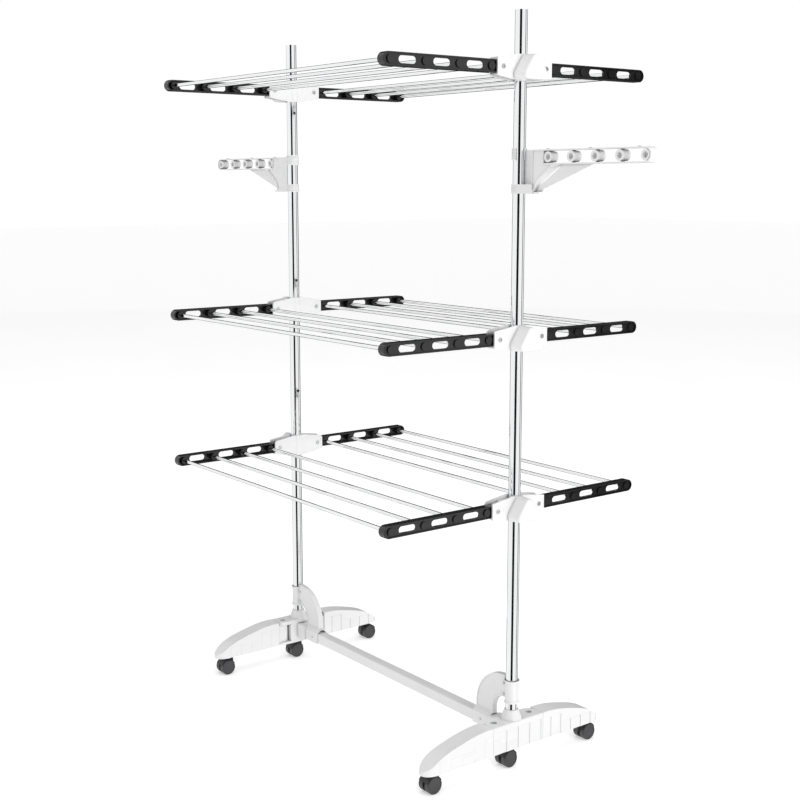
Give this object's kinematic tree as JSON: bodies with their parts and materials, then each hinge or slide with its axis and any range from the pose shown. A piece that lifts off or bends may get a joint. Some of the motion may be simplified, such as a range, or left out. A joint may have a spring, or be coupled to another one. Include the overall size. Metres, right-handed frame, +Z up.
{
  "type": "clothes drying rack",
  "caption": "Free-standing folding clothes drying rack with chromed posts and rods, black fold-up wings, white brackets, turning hanger arms, folding legs and twin-wheel casters.",
  "frame": {"origin": "on the floor, midway between the two posts", "axes": "+X along the rods towards the right-hand post, +Y along the wing arms, +Z up"},
  "size_m": [1.3536, 0.604, 1.372],
  "materials": {
    "chrome_tube": "polished chrome plate on steel tube and rod",
    "white_plastic": "semi-gloss moulded plastic",
    "white_paint": "powder coat on steel",
    "black_plastic": "satin moulded plastic",
    "caster_black": "matt moulded plastic",
    "caster_tread": "dark grey moulded wheel",
    "steel_fasteners": "bright plated steel"
  },
  "bodies": {
    "base": {"crossbar": "white_paint", "gusset_rivets": "steel_fasteners", "leg_hinge_pins": "steel_fasteners", "wing_pivot_rivets": "steel_fasteners", "post_snap_buttons": "steel_fasteners", "post_right": "chrome_tube", "hub_right": "white_plastic", "gusset_right": "white_paint", "bracket_outer_right_bottom": "white_plastic", "bracket_inner_right_bottom": "white_plastic", "bracket_outer_right_middle": "white_plastic", "bracket_inner_right_middle": "white_plastic", "bracket_outer_right_top": "white_plastic", "bracket_inner_right_top": "white_plastic", "post_left": "chrome_tube", "hub_left": "white_plastic", "gusset_left": "white_paint", "bracket_outer_left_bottom": "white_plastic", "bracket_inner_left_bottom": "white_plastic", "bracket_outer_left_middle": "white_plastic", "bracket_inner_left_middle": "white_plastic", "bracket_outer_left_top": "white_plastic", "bracket_inner_left_top": "white_plastic"},
    "wing_bottom_front": {"wing_arms_bottom_front": "black_plastic", "wing_rods_bottom_front": "chrome_tube"},
    "wing_middle_front": {"wing_arms_middle_front": "black_plastic", "wing_rods_middle_front": "chrome_tube"},
    "wing_top_front": {"wing_arms_top_front": "black_plastic", "wing_rods_top_front": "chrome_tube"},
    "wing_bottom_back": {"wing_arms_bottom_back": "black_plastic", "wing_rods_bottom_back": "chrome_tube"},
    "wing_middle_back": {"wing_arms_middle_back": "black_plastic", "wing_rods_middle_back": "chrome_tube"},
    "wing_top_back": {"wing_arms_top_back": "black_plastic", "wing_rods_top_back": "chrome_tube"},
    "leg_right_front": {"leg_right_front": "white_plastic"},
    "leg_right_back": {"leg_right_back": "white_plastic"},
    "caster_right_front": {"caster_housing_right_front": "caster_black"},
    "wheels_right_front": {"caster_wheels_right_front": "caster_tread"},
    "caster_right_middle": {"caster_housing_right_middle": "caster_black"},
    "wheels_right_middle": {"caster_wheels_right_middle": "caster_tread"},
    "caster_right_back": {"caster_housing_right_back": "caster_black"},
    "wheels_right_back": {"caster_wheels_right_back": "caster_tread"},
    "hanger_right": {"hanger_arm_right": "white_plastic"},
    "knob_right_bottom": {"lock_knob_right_bottom": "white_plastic"},
    "knob_right_middle": {"lock_knob_right_middle": "white_plastic"},
    "knob_right_top": {"lock_knob_right_top": "white_plastic"},
    "leg_left_front": {"leg_left_front": "white_plastic"},
    "leg_left_back": {"leg_left_back": "white_plastic"},
    "caster_left_front": {"caster_housing_left_front": "caster_black"},
    "wheels_left_front": {"caster_wheels_left_front": "caster_tread"},
    "caster_left_middle": {"caster_housing_left_middle": "caster_black"},
    "wheels_left_middle": {"caster_wheels_left_middle": "caster_tread"},
    "caster_left_back": {"caster_housing_left_back": "caster_black"},
    "wheels_left_back": {"caster_wheels_left_back": "caster_tread"},
    "hanger_left": {"hanger_arm_left": "white_plastic"},
    "knob_left_bottom": {"lock_knob_left_bottom": "white_plastic"},
    "knob_left_middle": {"lock_knob_left_middle": "white_plastic"},
    "knob_left_top": {"lock_knob_left_top": "white_plastic"}
  },
  "joints": [
    {"name": "wing_bottom_front_fold", "type": "hinge", "parent": "base", "child": "wing_bottom_front", "pos_m": [0, -0.05, 0.497], "axis": [-1, 0, 0], "range_deg": [0, 90]},
    {"name": "wing_middle_front_fold", "type": "hinge", "parent": "base", "child": "wing_middle_front", "pos_m": [0, -0.05, 0.807], "axis": [-1, 0, 0], "range_deg": [0, 90]},
    {"name": "wing_top_front_fold", "type": "hinge", "parent": "base", "child": "wing_top_front", "pos_m": [0, -0.05, 1.2745], "axis": [-1, 0, 0], "range_deg": [0, 90]},
    {"name": "wing_bottom_back_fold", "type": "hinge", "parent": "base", "child": "wing_bottom_back", "pos_m": [0, 0.05, 0.497], "axis": [1, 0, 0], "range_deg": [0, 90]},
    {"name": "wing_middle_back_fold", "type": "hinge", "parent": "base", "child": "wing_middle_back", "pos_m": [0, 0.05, 0.807], "axis": [1, 0, 0], "range_deg": [0, 90]},
    {"name": "wing_top_back_fold", "type": "hinge", "parent": "base", "child": "wing_top_back", "pos_m": [0, 0.05, 1.2745], "axis": [1, 0, 0], "range_deg": [0, 90]},
    {"name": "leg_right_front_fold", "type": "hinge", "parent": "base", "child": "leg_right_front", "pos_m": [0.365, -0.044, 0.065], "axis": [0, 0, -1], "range_deg": [0, 90]},
    {"name": "leg_right_back_fold", "type": "hinge", "parent": "base", "child": "leg_right_back", "pos_m": [0.365, 0.044, 0.065], "axis": [0, 0, 1], "range_deg": [0, 90]},
    {"name": "caster_right_front_swivel", "type": "hinge", "parent": "leg_right_front", "child": "caster_right_front", "pos_m": [0.365, -0.182, 0.045], "axis": [0, 0, 1], "continuous": true},
    {"name": "wheels_right_front_spin", "type": "hinge", "parent": "caster_right_front", "child": "wheels_right_front", "pos_m": [0.365, -0.194, 0.016], "axis": [1, 0, 0], "continuous": true},
    {"name": "caster_right_middle_swivel", "type": "hinge", "parent": "base", "child": "caster_right_middle", "pos_m": [0.365, 0, 0.045], "axis": [0, 0, 1], "continuous": true},
    {"name": "wheels_right_middle_spin", "type": "hinge", "parent": "caster_right_middle", "child": "wheels_right_middle", "pos_m": [0.365, -0.012, 0.016], "axis": [1, 0, 0], "continuous": true},
    {"name": "caster_right_back_swivel", "type": "hinge", "parent": "leg_right_back", "child": "caster_right_back", "pos_m": [0.365, 0.182, 0.045], "axis": [0, 0, 1], "continuous": true},
    {"name": "wheels_right_back_spin", "type": "hinge", "parent": "caster_right_back", "child": "wheels_right_back", "pos_m": [0.365, 0.194, 0.016], "axis": [1, 0, 0], "continuous": true},
    {"name": "hanger_right_turn", "type": "hinge", "parent": "base", "child": "hanger_right", "pos_m": [0.365, 0, 1.1225], "axis": [0, 0, 1], "range_deg": [-90, 90]},
    {"name": "knob_right_bottom_pull", "type": "slide", "parent": "base", "child": "knob_right_bottom", "axis": [1, 0, 0], "range_m": [0, 0.006], "stiffness_N_per_m": 800, "springref_m": -0.002},
    {"name": "knob_right_middle_pull", "type": "slide", "parent": "base", "child": "knob_right_middle", "axis": [1, 0, 0], "range_m": [0, 0.006], "stiffness_N_per_m": 800, "springref_m": -0.002},
    {"name": "knob_right_top_pull", "type": "slide", "parent": "base", "child": "knob_right_top", "axis": [1, 0, 0], "range_m": [0, 0.006], "stiffness_N_per_m": 800, "springref_m": -0.002},
    {"name": "leg_left_front_fold", "type": "hinge", "parent": "base", "child": "leg_left_front", "pos_m": [-0.365, -0.044, 0.065], "axis": [0, 0, 1], "range_deg": [0, 90]},
    {"name": "leg_left_back_fold", "type": "hinge", "parent": "base", "child": "leg_left_back", "pos_m": [-0.365, 0.044, 0.065], "axis": [0, 0, -1], "range_deg": [0, 90]},
    {"name": "caster_left_front_swivel", "type": "hinge", "parent": "leg_left_front", "child": "caster_left_front", "pos_m": [-0.365, -0.182, 0.045], "axis": [0, 0, 1], "continuous": true},
    {"name": "wheels_left_front_spin", "type": "hinge", "parent": "caster_left_front", "child": "wheels_left_front", "pos_m": [-0.365, -0.194, 0.016], "axis": [1, 0, 0], "continuous": true},
    {"name": "caster_left_middle_swivel", "type": "hinge", "parent": "base", "child": "caster_left_middle", "pos_m": [-0.365, 0, 0.045], "axis": [0, 0, 1], "continuous": true},
    {"name": "wheels_left_middle_spin", "type": "hinge", "parent": "caster_left_middle", "child": "wheels_left_middle", "pos_m": [-0.365, -0.012, 0.016], "axis": [1, 0, 0], "continuous": true},
    {"name": "caster_left_back_swivel", "type": "hinge", "parent": "leg_left_back", "child": "caster_left_back", "pos_m": [-0.365, 0.182, 0.045], "axis": [0, 0, 1], "continuous": true},
    {"name": "wheels_left_back_spin", "type": "hinge", "parent": "caster_left_back", "child": "wheels_left_back", "pos_m": [-0.365, 0.194, 0.016], "axis": [1, 0, 0], "continuous": true},
    {"name": "hanger_left_turn", "type": "hinge", "parent": "base", "child": "hanger_left", "pos_m": [-0.365, 0, 1.1225], "axis": [0, 0, 1], "range_deg": [-90, 90]},
    {"name": "knob_left_bottom_pull", "type": "slide", "parent": "base", "child": "knob_left_bottom", "axis": [-1, 0, 0], "range_m": [0, 0.006], "stiffness_N_per_m": 800, "springref_m": -0.002},
    {"name": "knob_left_middle_pull", "type": "slide", "parent": "base", "child": "knob_left_middle", "axis": [-1, 0, 0], "range_m": [0, 0.006], "stiffness_N_per_m": 800, "springref_m": -0.002},
    {"name": "knob_left_top_pull", "type": "slide", "parent": "base", "child": "knob_left_top", "axis": [-1, 0, 0], "range_m": [0, 0.006], "stiffness_N_per_m": 800, "springref_m": -0.002}
  ]
}
